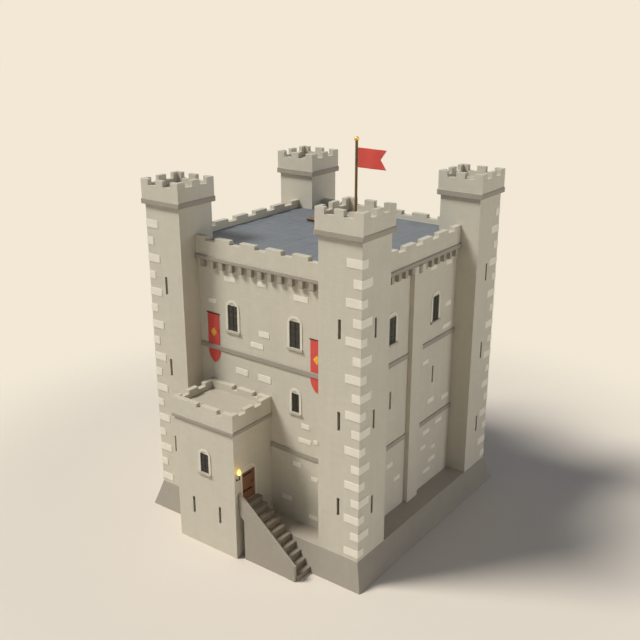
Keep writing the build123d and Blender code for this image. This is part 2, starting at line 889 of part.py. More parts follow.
def torch_bracket():
    """Iron arm from a wall plate, sloping up to an upright stem with a flared cup."""
    half = torch_iron / 2
    centre = fore_right + torch_reach
    foot = entrance_level + torch_wall_rise
    elbow = entrance_level + torch_elbow_rise
    stem_top = entrance_level + torch_stem_rise
    plate = block(fore_right, fore_right + torch_plate, torch_y - torch_iron, torch_y + torch_iron,
                  foot - torch_plate_half, foot + torch_plate_half)
    outline = [(fore_right, foot - half), (centre + half, elbow - half),
               (centre + half, elbow + half), (fore_right, foot + half)]
    arm = profile_along_y(outline, torch_y - half, torch_y + half)
    stem = block(centre - half, centre + half, torch_y - half, torch_y + half, elbow, stem_top)
    cup = Pos(centre, torch_y, stem_top + torch_cup_height / 2) * Cone(
        half, torch_cup_radius, torch_cup_height)
    return plate + arm + stem + cup


def front_wall():
    """Front wall with the round-headed doorway from the forebuilding to the hall."""
    plane = Plane(origin=(0, -wall_inner, 0), x_dir=(1, 0, 0), z_dir=(0, -1, 0))
    outline = arch_outline(fore_middle, entrance_level, inner_door_width,
                           entrance_level + inner_door_spring)
    return side_wall(front_windows, []) - extrude(plane * outline, wall_thickness)


parts = {
    "battered_plinth": battered_plinth(),
    "front_wall": front_wall(),
    "corbel_table": corbel_table(),
    "string_courses": string_courses(),
    "parapet_strings": parapet_strings(),
    "wall_parapets": wall_parapets(),
    "tower_parapets": tower_parapets(),
    "tower_string_bands": tower_string_bands(),
    "tower_decks": tower_decks(),
    "pilaster_buttresses": pilaster_buttresses(),
    "roof_deck": roof_deck(),
    "roof_hatch": roof_hatch(),
    "storey_floors": storey_floors(),
    "opening_surrounds": opening_surrounds(),
    "window_sills": window_sills(),
    "window_panes": window_panes(),
    "forebuilding_front_wall": forebuilding_front_wall(),
    "forebuilding_left_wall": forebuilding_left_wall(),
    "forebuilding_right_wall_base": forebuilding_right_wall_base(),
    "forebuilding_door_piers": forebuilding_door_piers(),
    "forebuilding_door_head": forebuilding_door_head(),
    "forebuilding_string": forebuilding_string(),
    "forebuilding_parapet": forebuilding_parapet(),
    "forebuilding_floors": forebuilding_floors(),
    "door_leaf": door_leaf(),
    "door_ironwork": door_ironwork(),
    "door_pintles": door_pintles(),
    "entrance_stair": entrance_stair(),
    "stair_balustrade": stair_balustrade(),
    "flagpole": flagpole(),
    "flagpole_ball": flagpole_ball(),
    "flag": flag(),
    "banners": Compound([banner(-banner_x), banner(banner_x)]),
    "banner_rods": Compound([banner_rod(-banner_x), banner_rod(banner_x)]),
    "torch_bracket": torch_bracket(),
}
for name in ("right", "back", "left"):
    parts[name + "_wall"] = on_side(sides[name], side_wall(side_windows, side_slits))
for name, signs in towers.items():
    parts[name + "_tower_side_walls"] = tower_side_walls(*signs)
    parts[name + "_tower_end_walls"] = tower_end_walls(*signs)

os.makedirs("parts", exist_ok=True)
for name, shape in parts.items():
    export_step(shape, os.path.join("parts", name + ".step"))
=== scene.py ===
"""Looks of the castle keep: materials, dressed stones, boards, glazing bars and cloth, with the
light and the camera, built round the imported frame. Lengths are in metres, angles in degrees."""

import math
import random
from itertools import product

import bmesh
import bpy
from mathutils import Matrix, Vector
from mathutils.bvhtree import BVHTree


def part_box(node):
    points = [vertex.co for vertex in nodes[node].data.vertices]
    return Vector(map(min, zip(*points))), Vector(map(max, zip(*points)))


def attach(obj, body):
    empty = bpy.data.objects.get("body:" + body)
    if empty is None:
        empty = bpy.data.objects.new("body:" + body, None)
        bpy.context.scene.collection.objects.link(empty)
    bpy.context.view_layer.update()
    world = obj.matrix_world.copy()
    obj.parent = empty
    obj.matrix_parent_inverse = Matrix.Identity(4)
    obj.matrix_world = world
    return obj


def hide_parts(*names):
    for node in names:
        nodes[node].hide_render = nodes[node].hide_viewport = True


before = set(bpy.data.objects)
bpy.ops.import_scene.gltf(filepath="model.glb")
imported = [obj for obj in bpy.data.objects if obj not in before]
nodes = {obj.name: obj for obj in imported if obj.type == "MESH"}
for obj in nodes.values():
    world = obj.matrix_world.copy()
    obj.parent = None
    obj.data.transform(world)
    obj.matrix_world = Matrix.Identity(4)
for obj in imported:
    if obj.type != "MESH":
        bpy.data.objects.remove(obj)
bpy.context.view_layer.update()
scene = bpy.context.scene
draw = random.Random(11)
upward = Vector((0, 0, 1))

# Camera, found from the photo's edges
camera_place = (40.609, -55.917, 40.572)
camera_target = (-0.798, 0.0, 15.748)
camera_lens = 50  # in millimetres, as the sensor's width
sensor_width = 36
camera_reach = 1000

# Light: the way the sunlight travels, and how strong each source is
sun_course = (1.0, 0.855, -1.65)
sun_strength = 3.36
sun_softness = 18.5
sun_colour = (1.0, 1.0, 1.0)
fill_course = (-1.0, -0.22, -0.02)
fill_strength = 1.02
fill_softness = 25.0
fill_colour = (0.965, 0.98, 1.0)
sky_strength = 0.255
sky_colour = (0.70, 0.79, 1.0, 1.0)
glow_strength = 5.0  # of the torch
glow_colour = (1.0, 0.42, 0.14)
glow_radius = 0.2
glow_rise = 0.3

# Ground that turns into the plain backdrop with distance
floor_colour = (218, 207, 190)
backdrop_colour = (242, 232, 213)
backdrop_near = 24.0
backdrop_far = 46.0
floor_half = 400.0
floor_level = -0.004

# Dressed corner stones of the towers
quoin_count = 17
quoin_first = 2.75
quoin_pitch = 1.368
quoin_height = 0.62
quoin_long = (1.23, 1.30)  # along x and along y
quoin_short = (0.66, 0.72)
quoin_vary = 0.02
stone_proud = 0.034
stone_depth = 0.05  # into the wall
stone_arris = 0.014

# Pale stones set in the walls: place along the wall, level, width and, where known, height
front_stones = [
    (-3.21, 20.88, 1.15), (-0.04, 21.04, 0.86), (3.59, 20.63, 1.31, 0.45),
    (-5.07, 18.83, 0.81), (0.07, 17.11, 1.03, 0.47), (-0.66, 16.07, 1.25, 0.42),
    (-2.25, 13.52, 1.24, 0.50), (0.04, 13.50, 1.28, 0.54), (3.95, 10.59, 0.79),
    (3.87, 9.36, 1.20), (4.92, 9.57, 0.37), (3.11, 7.17, 0.82),
    (4.78, 6.39, 0.64), (2.06, 3.93, 0.91), (4.67, 3.02, 0.86),
]
right_stones = [
    (1.95, 13.52, 0.94), (3.08, 9.82, 0.97), (5.52, 9.31, 1.17),
    (4.59, 7.42, 1.02), (2.49, 7.14, 1.06), (2.11, 5.83, 0.83),
    (3.78, 5.26, 0.65), (3.65, 4.18, 1.09), (2.82, 3.41, 1.15),
    (-3.05, 6.43, 0.87), (-1.92, 4.84, 0.90), (2.63, 21.25, 0.90),
    (5.08, 21.14, 0.90), (5.25, 17.63, 0.91), (5.20, 15.75, 1.27),
]
back_stones_drop = 0.17  # under the right wall's, which they repeat
stone_heights = (0.33, 0.42)
stone_vary = 0.008  # at each corner
stone_relief = (0.7, 1.1)  # times stone_proud


# Building materials


def rgb(red, green, blue):
    """A colour as a screen shows it, 0 to 255, as the linear values that a shader takes."""
    shares = [value / 255 for value in (red, green, blue)]
    return [s / 12.92 if s <= 0.04045 else ((s + 0.055) / 1.055) ** 2.4 for s in shares] + [1.0]


def shade(colour, factor):
    return [channel * factor for channel in colour[:3]] + [1.0]


axis_share = 0.75  # of a face's normal: past it, the face looks along that axis


class Graph:
    """Shader nodes, added by short calls that return their outputs."""

    def __init__(self, tree):
        self.tree = tree

    def add(self, kind, sockets=None, **settings):
        node = self.tree.nodes.new(kind)
        for key, value in settings.items():
            setattr(node, key, value)
        for key, value in (sockets or {}).items():
            self.join(value, node.inputs[key])
        return node

    def join(self, value, socket):
        if isinstance(value, bpy.types.NodeSocket):
            self.tree.links.new(value, socket)
        else:
            socket.default_value = value

    def math(self, operation, first, second=0.0, third=0.0):
        node = self.add("ShaderNodeMath", {0: first, 1: second, 2: third}, operation=operation)
        return node.outputs[0]

    def vector(self, operation, first, second):
        node = self.add("ShaderNodeVectorMath", {0: first, 1: second}, operation=operation)
        return node.outputs[0]

    def total(self, first, *others):
        for other in others:
            first = self.math("ADD", first, other)
        return first

    def mix_shaders(self, share, first, second):
        return self.add("ShaderNodeMixShader", {0: share, 1: first, 2: second}).outputs[0]

    def shown(self):
        """1 for a ray that shows what it meets, straight or mirrored, and 0 for one of light."""
        path = self.add("ShaderNodeLightPath").outputs
        mirrored = self.math("MAXIMUM", path["Is Glossy Ray"], path["Is Transmission Ray"])
        return self.math("MAXIMUM", path["Is Camera Ray"], mirrored)


class Recipe(Graph):
    """A material in the making."""

    def __init__(self, name):
        self.material = bpy.data.materials.new(name)
        self.material.use_nodes = True
        super().__init__(self.material.node_tree)
        self.shader = self.tree.nodes["Principled BSDF"]
        self.place = self.add("ShaderNodeTexCoord").outputs

    def mix(self, share, first, second):
        """Between two numbers."""
        return self.add("ShaderNodeMix", {0: share, 2: first, 3: second}).outputs[0]

    def parts(self, source):
        """The x, y and z of a texture coordinate."""
        return self.add("ShaderNodeSeparateXYZ", {0: self.place[source]}).outputs

    def blend(self, share, first, second):
        """Between two colours."""
        node = self.add("ShaderNodeMix", {0: share, 6: first, 7: second}, data_type="RGBA")
        return node.outputs[2]

    def stretch(self, scale, turn=(0, 0, 0)):
        """Object coordinates times a scale on each axis, turned about the axes."""
        angles = [math.radians(angle) for angle in turn]
        sockets = {"Vector": self.place["Object"], "Scale": scale, "Rotation": angles}
        return self.add("ShaderNodeMapping", sockets).outputs[0]

    def noise(self, scale, detail=2.0, vector=None, roughness=0.5):
        sockets = {"Vector": vector or self.place["Object"], "Scale": scale, "Detail": detail,
                   "Roughness": roughness}
        return self.add("ShaderNodeTexNoise", sockets).outputs[0]

    def waves(self, vector, scale, distortion, detail):
        sockets = {"Vector": vector, "Scale": scale, "Distortion": distortion, "Detail": detail}
        return self.add("ShaderNodeTexWave", sockets).outputs[1]

    def spread(self, value, low, high, start=0.0, end=1.0):
        """The value's range from start to end, laid over low to high."""
        node = self.add("ShaderNodeMapRange", {0: value, 1: start, 2: end, 3: low, 4: high})
        return node.outputs[0]

    def tint(self, colour, value):
        """The colour, lighter or darker by a factor that varies over the surface."""
        return self.add("ShaderNodeHueSaturation", {"Value": value, "Color": colour}).outputs[0]

    def bump(self, height, distance, strength=1.0):
        sockets = {"Height": height, "Distance": distance, "Strength": strength}
        self.join(self.add("ShaderNodeBump", sockets).outputs[0], self.shader.inputs["Normal"])

    def facing(self):
        """Metres along a face and up it, by the way it looks, and whether it looks up; such a
        face takes x and y."""
        at, look = self.parts("Object"), self.parts("Normal")
        size = [self.math("ABSOLUTE", part) for part in look]
        sideways = self.math("GREATER_THAN", size[0], size[1])
        level = self.math("GREATER_THAN", look[2], axis_share)
        along = self.mix(level, self.mix(sideways, at[0], at[1]), at[0])
        up = self.mix(level, at[2], at[1])
        return self.add("ShaderNodeCombineXYZ", {0: along, 1: up}).outputs[0], level

    def wander(self, vector, scale, amount):
        """The vector, moved a little by a slow noise."""
        sockets = {"Vector": self.place["Object"], "Scale": scale, "Detail": 1.0}
        slow = self.add("ShaderNodeTexNoise", sockets).outputs[1]
        either_way = self.vector("SUBTRACT", slow, (0.5,) * 3)
        return self.vector("ADD", vector, self.vector("MULTIPLY", either_way, (amount,) * 3))

    def finish(self, colour, roughness, **constants):
        self.join(colour, self.shader.inputs["Base Color"])
        self.join(roughness, self.shader.inputs["Roughness"])
        for name, value in constants.items():
            self.shader.inputs[name.replace("_", " ")].default_value = value
        return self.material


def masonry(name, colour, course=0.34, stone=0.66, joint=0.008, contrast=0.014, relief=0.004,
            painted_top_shading=0.0):
    """Coursed stone: blocks of slightly different tone, thin joints, grain and slow weathering; the
    tops are darkened by painted shade, or lightened by painted light where the number is negative."""
    make = Recipe(name)
    place, level = make.facing()
    face = make.wander(place, scale=0.9, amount=0.05)
    sockets = {"Vector": face, "Scale": 1.0, "Mortar Size": joint, "Mortar Smooth": 0.35,
               "Brick Width": stone, "Row Height": course, "Color1": shade(colour, 1 + contrast),
               "Color2": shade(colour, 1 - contrast), "Mortar": shade(colour, 1 - 2.2 * contrast)}
    bricks = make.add("ShaderNodeTexBrick", sockets, offset=0.5, squash=0.8, squash_frequency=3)
    grain = make.noise(34.0, detail=3.0)
    patches = make.noise(0.32, detail=3.0)
    streaks = make.noise(1.0, vector=make.stretch((2.1, 2.1, 0.16)))
    tone = make.total(make.spread(grain, -0.035, 0.035), make.spread(patches, 0.955, 1.045),
                      make.spread(streaks, -0.022, 0.02, 0.25, 0.75))
    # painted shade on the faces that look up, or painted light where the number is negative
    if painted_top_shading:
        tone = make.math("MULTIPLY_ADD", level, -painted_top_shading, tone)
    pits = make.spread(make.noise(11.0, detail=4.0, roughness=0.7), 0.0, 1.0, 0.3, 0.55)
    height = make.math("MULTIPLY_ADD", bricks.outputs[1], -1.0, make.math("MULTIPLY", pits, 0.25))
    height = make.math("MULTIPLY_ADD", grain, 0.12, height)
    make.bump(height, relief)
    return make.finish(make.tint(bricks.outputs[0], tone), make.spread(grain, 0.82, 0.95),
                       Specular_IOR_Level=0.25)


def dressed(name, colour, tooling=0.02, flank=None):
    """Smooth worked stone with faint slanting tool marks; the faces that look along y may have
    their own colour."""
    make = Recipe(name)
    if flank:
        look = make.math("ABSOLUTE", make.parts("Normal")[1])
        sideways = make.math("GREATER_THAN", look, axis_share)
        colour = make.blend(sideways, colour, flank)
    grain = make.noise(48.0, detail=3.0)
    patches = make.noise(1.7, detail=3.0)
    slanting = make.stretch((1, 1, 1), turn=(35, 35, 0))
    marks = make.waves(slanting, scale=9.0, distortion=2.5, detail=2.0)
    tone = make.total(make.spread(grain, -0.025, 0.025), make.spread(patches, 0.95, 1.05),
                      make.spread(marks, -tooling, tooling))
    height = make.math("MULTIPLY_ADD", marks, 0.4, make.math("MULTIPLY", grain, 0.6))
    make.bump(height, 0.004)
    return make.finish(make.tint(colour, tone), make.spread(grain, 0.75, 0.9),
                       Specular_IOR_Level=0.3)


def lead_sheet(name, colour):
    """Old lead: soft dull metal with a mottled patina and shallow dents."""
    make = Recipe(name)
    mottle = make.noise(1.1, detail=5.0, roughness=0.6)
    fine = make.noise(16.0, detail=3.0)
    runs = make.noise(1.0, vector=make.stretch((1.6, 0.14, 1)))
    tone = make.total(make.spread(mottle, 0.90, 1.10, 0.25, 0.75),
                      make.spread(fine, -0.04, 0.04), make.spread(runs, -0.02, 0.02))
    warm = make.blend(make.spread(mottle, 0, 1, 0.35, 0.75), colour, shade(colour, 1.12))
    make.bump(make.math("MULTIPLY_ADD", fine, 0.3, mottle), 0.02)
    return make.finish(make.tint(warm, tone), make.spread(mottle, 0.5, 0.72, 0.2, 0.8),
                       Metallic=0.15, Specular_IOR_Level=0.4)


def timber(name, colour, along, board=0.26, contrast=0.14):
    """Aged wood whose grain runs along one axis, each board with its own tone."""
    make = Recipe(name)
    scales = [22.0, 22.0, 22.0]
    scales[along] = 1.3
    fibre = make.noise(1.0, detail=5.0, vector=make.stretch(scales), roughness=0.6)
    slow = [3.0, 3.0, 3.0]
    slow[along] = 0.25
    rings = make.waves(make.stretch(slow), scale=2.2, distortion=7.0, detail=3.0)
    boards = make.vector("SNAP", make.place["Object"], (board,) * 3)
    own = make.add("ShaderNodeTexWhiteNoise", {"Vector": boards}).outputs[0]
    tone = make.total(make.spread(fibre, 1 - contrast, 1 + contrast, 0.25, 0.75),
                      make.spread(rings, -0.08, 0.08), make.spread(own, -0.06, 0.06))
    weathered = make.blend(make.spread(fibre, 0.0, 0.35, 0.45, 0.8), colour, rgb(126, 108, 88))
    make.bump(make.math("MULTIPLY_ADD", rings, 0.4, fibre), 0.004)
    return make.finish(make.tint(weathered, tone), make.spread(fibre, 0.6, 0.85),
                       Specular_IOR_Level=0.3)


def forged(name, colour):
    """Hammered iron with a little rust in the hollows."""
    make = Recipe(name)
    hammer = make.noise(28.0)
    rust = make.spread(make.noise(9.0, detail=4.0, roughness=0.65), 0.0, 0.5, 0.5, 0.75)
    make.bump(hammer, 0.004)
    return make.finish(make.blend(rust, colour, rgb(96, 62, 42)), make.spread(hammer, 0.4, 0.65),
                       Metallic=0.75)


def gilded(name, colour):
    """Gold leaf, worn dull in patches."""
    make = Recipe(name)
    worn = make.noise(14.0, detail=3.0)
    make.bump(worn, 0.003)
    return make.finish(make.tint(colour, make.spread(worn, 0.88, 1.08)),
                       make.spread(worn, 0.24, 0.42), Metallic=0.85)


def woven(name, colour, across, thread=0.004):
    """Wool cloth: over and under threads, soft sheen and faded patches."""
    make = Recipe(name)
    at = make.parts("Object")
    turns = 2 * math.pi / thread
    warp = make.math("SINE", make.math("MULTIPLY", at[across], turns))
    weft = make.math("SINE", make.math("MULTIPLY", at[2], turns))
    weave = make.math("MULTIPLY", warp, weft)
    fade = make.noise(1.6, detail=3.0)
    fluff = make.noise(60.0)
    tone = make.total(make.spread(weave, -0.05, 0.05, -1, 1), make.spread(fade, 0.93, 1.07),
                      make.spread(fluff, -0.04, 0.04))
    make.bump(weave, 0.001, 0.5)
    return make.finish(make.tint(colour, tone), make.spread(fluff, 0.8, 0.95),
                       Sheen_Weight=0.15, Sheen_Roughness=0.5, Specular_IOR_Level=0.15)


def glazing(name, colour):
    """Glass whose dark colour is painted shade of the unlit room behind it, each pane a little
    uneven.
    """
    make = Recipe(name)
    ripple = make.noise(5.0)
    make.bump(ripple, 0.01)
    return make.finish(make.tint(colour, make.spread(ripple, 0.85, 1.15)),
                       make.spread(ripple, 0.12, 0.25), Specular_IOR_Level=0.4)


def burning(name):
    """Flame: pale at its foot and orange at the tip."""
    make = Recipe(name)
    height = make.parts("Generated")[2]
    lick = make.math("ADD", height, make.spread(make.noise(6.0), -0.12, 0.12))
    glow = make.blend(make.spread(lick, 0, 1, 0.45, 1.0), rgb(255, 246, 140), rgb(255, 196, 70))
    make.join(glow, make.shader.inputs["Emission Color"])
    return make.finish(glow, 0.6, Emission_Strength=1.0)


# the wall's tops are darker by painted shade; the trim's and the plinth's tops are lighter by
# painted light
wall_stone = masonry("wall_stone", rgb(203, 195, 175), painted_top_shading=0.09)
trim_stone = masonry("trim_stone", rgb(162, 153, 137), course=0.5, stone=1.1, contrast=0.012,
                     painted_top_shading=-0.25)
plinth_stone = masonry("plinth_stone", rgb(158, 149, 133), course=0.45, stone=0.9, contrast=0.016,
                       painted_top_shading=-0.25)
pale_stone = dressed("dressed_stone", rgb(231, 223, 203))
surround_stone = dressed("surround_stone", rgb(221, 213, 193))
sill_stone = dressed("sill_stone", rgb(186, 177, 158))
corbel_stone = dressed("corbel_stone", rgb(163, 154, 137))
paving = masonry("paving_stone", rgb(177, 168, 149), course=0.62, stone=0.95)
step_stone = dressed("step_stone", rgb(140, 129, 111), flank=rgb(162, 153, 137))
lead = lead_sheet("roof_lead", rgb(108, 113, 117))
came_lead = lead_sheet("came_lead", rgb(52, 50, 45))
door_oak = timber("door_oak", rgb(134, 92, 63), 2)
ledge_oak = timber("ledge_oak", rgb(94, 64, 45), 1)
floor_oak = timber("floor_oak", rgb(112, 84, 60), 0, board=0.3)
hatch_oak = timber("hatch_oak", rgb(147, 119, 94), 1)
curb_oak = timber("curb_oak", rgb(98, 78, 60), 0)
pole_wood = timber("pole_wood", rgb(120, 88, 52), 2, board=3.0)
iron = forged("iron", rgb(44, 40, 37))
gold = gilded("gilding", rgb(224, 180, 98))
red_wool = woven("red_cloth", rgb(212, 82, 71), 0)
yellow_wool = woven("yellow_cloth", rgb(236, 178, 66), 0)
canvas = woven("canvas", rgb(188, 170, 140), 0)
# the panes' dark colour is painted shade of the room behind them
glass_with_painted_shade = glazing("window_glass", rgb(66, 63, 54))
flame_light = burning("flame")


# Building pieces

worn_angle = 32  # edges that turn by more are rounded
worn_segments = 2
large_face_weight = 60  # how much the large faces decide a rounded edge's shading
same_point = 0.0002  # corners nearer than this are one


def in_scene(name, data):
    """An object that holds the data, linked into the scene."""
    thing = bpy.data.objects.new(name, data)
    scene.collection.objects.link(thing)
    return thing


def piece(name, mesh, material, body="keep", bevel=0.0, smooth=False):
    """A bmesh as a named object that rides on a body."""
    bmesh.ops.recalc_face_normals(mesh, faces=mesh.faces)
    for face in mesh.faces:
        face.smooth = smooth
    data = bpy.data.meshes.new(name)
    mesh.to_mesh(data)
    mesh.free()
    data.materials.append(material)
    thing = in_scene(name, data)
    if bevel:
        round_edges(thing, bevel)
    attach(thing, body)
    return thing


def round_edges(thing, width):
    edge = thing.modifiers.new("arris", "BEVEL")
    edge.width = width
    edge.segments = worn_segments
    edge.limit_method = "ANGLE"
    edge.angle_limit = math.radians(worn_angle)
    even = thing.modifiers.new("even", "WEIGHTED_NORMAL")
    even.weight = large_face_weight


def add_skin(mesh, loops):
    """Faces between each loop of corners and the next."""
    for lower, upper in zip(loops, loops[1:]):
        for i in range(len(lower)):
            k = (i + 1) % len(lower)
            mesh.faces.new((lower[i], lower[k], upper[k], upper[i]))


def add_fan(mesh, loop, tip):
    """Faces from a loop of corners to one point."""
    point = mesh.verts.new(tip)
    for i in range(len(loop)):
        mesh.faces.new((loop[i], loop[(i + 1) % len(loop)], point))


def add_prism(mesh, outline, depth):
    """A solid from a flat outline of points, drawn out along a vector."""
    low = [mesh.verts.new(point) for point in outline]
    high = [mesh.verts.new(Vector(point) + Vector(depth)) for point in outline]
    mesh.faces.new(low[::-1])
    mesh.faces.new(high)
    add_skin(mesh, [low, high])


def add_box(mesh, low, high):
    """A block between its lowest and its highest corner."""
    outline = [(low[0], low[1], low[2]), (high[0], low[1], low[2]),
               (high[0], high[1], low[2]), (low[0], high[1], low[2])]
    add_prism(mesh, outline, (0, 0, high[2] - low[2]))


def add_bar(mesh, start, end, width, out, depth):
    """A flat bar between two points, as wide as given in its plane and standing out from it."""
    start, end, out = Vector(start), Vector(end), Vector(out)
    side = (end - start).cross(out).normalized() * width / 2
    add_prism(mesh, [start - side, end - side, end + side, start + side], out * depth)


def spokes(axis, count):
    """Unit vectors square to an axis, evenly spaced round it."""
    side = axis.orthogonal().normalized()
    other = axis.cross(side)
    turns = [2 * math.pi * i / count for i in range(count)]
    return [side * math.cos(turn) + other * math.sin(turn) for turn in turns]


def add_dome(mesh, centre, out, radius, rise, around=10):
    """A low round stud head that stands out along a unit vector, its foot a little sunk."""
    centre, out = Vector(centre), Vector(out)
    rings = []
    for share, lift in ((1.0, -0.1), (0.86, 0.5), (0.5, 0.88)):
        rings.append([mesh.verts.new(centre + spoke * radius * share + out * rise * lift)
                      for spoke in spokes(out, around)])
    mesh.faces.new(rings[0][::-1])
    add_skin(mesh, rings)
    add_fan(mesh, rings[-1], centre + out * rise)


def add_ring(mesh, centre, axis, radius, wire, around=20, section=8):
    """A torus about an axis, given as a unit vector."""
    centre = Vector(centre)
    turns = [2 * math.pi * j / section for j in range(section)]
    loops = []
    for spoke in spokes(axis, around):
        loops.append([mesh.verts.new(centre + spoke * (radius + wire * math.cos(turn))
                                     + axis * wire * math.sin(turn)) for turn in turns])
    add_skin(mesh, loops + loops[:1])


def solid_boxes(name):
    """The lowest and highest corner of each separate solid of a CAD node."""
    mesh = bmesh.new()
    mesh.from_mesh(nodes[name].data)
    bmesh.ops.remove_doubles(mesh, verts=mesh.verts, dist=same_point)
    boxes = []
    unseen = set(mesh.verts)
    while unseen:
        stack = [unseen.pop()]
        found = list(stack)
        while stack:
            for edge in stack.pop().link_edges:
                for vertex in edge.verts:
                    if vertex in unseen:
                        unseen.remove(vertex)
                        stack.append(vertex)
                        found.append(vertex)
        low = Vector(min(vertex.co[i] for vertex in found) for i in range(3))
        high = Vector(max(vertex.co[i] for vertex in found) for i in range(3))
        boxes.append((low, high))
    mesh.free()
    return sorted(boxes, key=lambda pair: tuple(pair[0]))


def wall_axes(low, high):
    """For a solid on an outer face of the keep: the axis out of that wall, and the one along it."""
    middle = (low + high) / 2
    if abs(middle.y) > abs(middle.x):
        return Vector((0, math.copysign(1, middle.y), 0)), Vector((1, 0, 0))
    return Vector((math.copysign(1, middle.x), 0, 0)), Vector((0, 1, 0))


# The CAD nodes' own materials and worn edges

wall_nodes = [name for name in nodes
              if name.endswith("_wall") or "tower_" in name and "walls" in name]
wall_nodes += ["pilaster_buttresses", "forebuilding_right_wall_base", "forebuilding_door_piers",
               "forebuilding_door_head"]
finishes = {
    wall_stone: wall_nodes,
    trim_stone: ["parapet_strings", "tower_string_bands", "forebuilding_string",
                 "stair_balustrade"],
    plinth_stone: ["battered_plinth"],
    surround_stone: ["opening_surrounds"],
    sill_stone: ["window_sills"],
    paving: ["forebuilding_floors"],
    step_stone: ["entrance_stair"],
    lead: ["roof_deck"],
    floor_oak: ["storey_floors"],
    pole_wood: ["flagpole"],
    gold: ["flagpole_ball"],
    iron: ["torch_bracket", "banner_rods", "door_ironwork", "door_pintles"],
    glass_with_painted_shade: ["window_panes"],
}
for material, names in finishes.items():
    for name in names:
        node = nodes[name]
        node.data.materials.clear()
        node.data.materials.append(material)

arrises = {
    0.07: ["parapet_strings", "tower_string_bands", "forebuilding_string"],
    0.018: ["battered_plinth", "pilaster_buttresses", "stair_balustrade", "entrance_stair"],
    0.012: ["opening_surrounds", "window_sills"],
}
flat_angle = 0.5  # faces that differ by less are joined before the edges are rounded
for width, names in arrises.items():
    for name in names:
        node = nodes[name]
        weld = node.modifiers.new("weld", "WELD")
        weld.merge_threshold = same_point
        flat = node.modifiers.new("flat", "DECIMATE")
        flat.decimate_type = "DISSOLVE"
        flat.angle_limit = math.radians(flat_angle)
        round_edges(node, width)


# Battlements: the CAD nodes' own shapes, with slimmer walls above the walks behind them

wall_battlement = 0.49  # thickness above the walk
tower_battlement = 0.36
fore_battlement = 0.43
parapet_arris = 0.018
parapet_bedding = 0.03  # sunk into the string course below
deck_bed = 0.3  # paving and its bed, over the tower decks' slabs
paving_arris = 0.01
probe_shares = (0.43, 0.57)  # of a cell's two sides, for a point within it and off its middle
ray_step = 0.0005
level_slack = 0.001
grid_decimals = 3
same_plane = 0.005  # radians between faces that are joined into one


def inside(tree, place):
    """Whether a place is within a closed mesh, by the count of the faces straight above it."""
    hits = 0
    found = tree.ray_cast(place, upward)[0]
    while found is not None:
        hits += 1
        found = tree.ray_cast(found + upward * ray_step, upward)[0]
    return hits % 2 == 1


def add_cells(mesh, cells, cuts, walk):
    """The outer faces of a grid's filled cells; those at the walk's level take the second
    material, and the grid's lowest corners are bedded."""
    points = {}

    def point(corner):
        if corner not in points:
            place = [cuts[i][corner[i]] for i in range(3)]
            if corner[2] == 0:
                place[2] -= parapet_bedding
            points[corner] = mesh.verts.new(place)
        return points[corner]

    for cell in sorted(cells):
        for axis in range(3):
            for side in (0, 1):
                beside = tuple(cell[i] + (2 * side - 1) * (i == axis) for i in range(3))
                if beside in cells:
                    continue
                corners = []
                for a, b in ((0, 0), (1, 0), (1, 1), (0, 1)):
                    steps = [a, b]
                    corners.append(point(tuple(cell[i] + (side if i == axis else steps.pop())
                                               for i in range(3))))
                face = mesh.faces.new(corners)
                level = cuts[2][cell[2] + 1]
                if axis == 2 and side == 1 and abs(level - walk) < level_slack:
                    face.material_index = 1


def battlement(name, rings, thickness, walk, walk_material):
    """Built cell by cell over a CAD node; rings are the boxes whose inner part is taken away
    above the walk's level."""
    source = bmesh.new()
    source.from_mesh(nodes[name].data)
    tree = BVHTree.FromBMesh(source)
    cuts = [{round(vertex.co[i], grid_decimals) for vertex in source.verts} for i in range(3)]
    source.free()
    for low, high in rings:
        for i in range(2):
            cuts[i] |= {round(low[i] + thickness, grid_decimals),
                        round(high[i] - thickness, grid_decimals)}
    cuts[2].add(round(walk, grid_decimals))
    cuts = [sorted(levels) for levels in cuts]

    def filled(cell):
        at = Vector([probe_shares[0] * cuts[i][cell[i]] + probe_shares[1] * cuts[i][cell[i] + 1]
                     for i in range(3)])
        if at.z > walk and any(min(at.x - low.x, high.x - at.x, at.y - low.y, high.y - at.y)
                               > thickness for low, high in rings):
            return False
        return inside(tree, at)

    grid = product(*(range(len(levels) - 1) for levels in cuts))
    cells = {cell for cell in grid if filled(cell)}
    mesh = bmesh.new()
    add_cells(mesh, cells, cuts, walk)
    bmesh.ops.dissolve_limit(mesh, angle_limit=same_plane, verts=mesh.verts, edges=mesh.edges,
                             delimit={"MATERIAL"})
    made = piece(name + "_stones", mesh, wall_stone, bevel=parapet_arris)
    made.data.materials.append(walk_material)
    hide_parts(name)


roof_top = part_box("roof_deck")[1]
battlement("wall_parapets", [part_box("wall_parapets")], wall_battlement, roof_top.z, lead)
battlement("tower_parapets", solid_boxes("tower_parapets"), tower_battlement,
           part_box("tower_decks")[1].z + deck_bed, paving)
battlement("forebuilding_parapet", [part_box("forebuilding_parapet")], fore_battlement,
           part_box("forebuilding_floors")[1].z, paving)

decks = bmesh.new()
for low, high in solid_boxes("tower_decks"):
    add_box(decks, low, (high.x, high.y, high.z + deck_bed))
deck_paving = piece("tower_deck_paving", decks, paving, bevel=paving_arris)
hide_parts("tower_decks")


# String courses, a little slimmer than the CAD's, with weathered edges

string_drop = 0.04  # of their tops
string_lift = 0.07  # of their undersides
string_arris = 0.03

strings = bmesh.new()
for low, high in solid_boxes("string_courses"):
    add_box(strings, (low.x, low.y, low.z + string_lift), (high.x, high.y, high.z - string_drop))
string_stones = piece("string_stones", strings, trim_stone, bevel=string_arris)
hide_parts("string_courses")


# Corbels: a block about each of the CAD's, with a rounded foot, and a plain one on each pilaster

corbel_side = 0.08  # wider than the CAD's on each side
corbel_drop = 0.05  # and lower
corbel_foot = 0.09  # radius of the foot
foot_steps = 4
block_half = 0.19  # half the width of the plain ones
block_height = 0.59
block_depth = 0.11
block_bed = 0.02  # into the pilaster's face


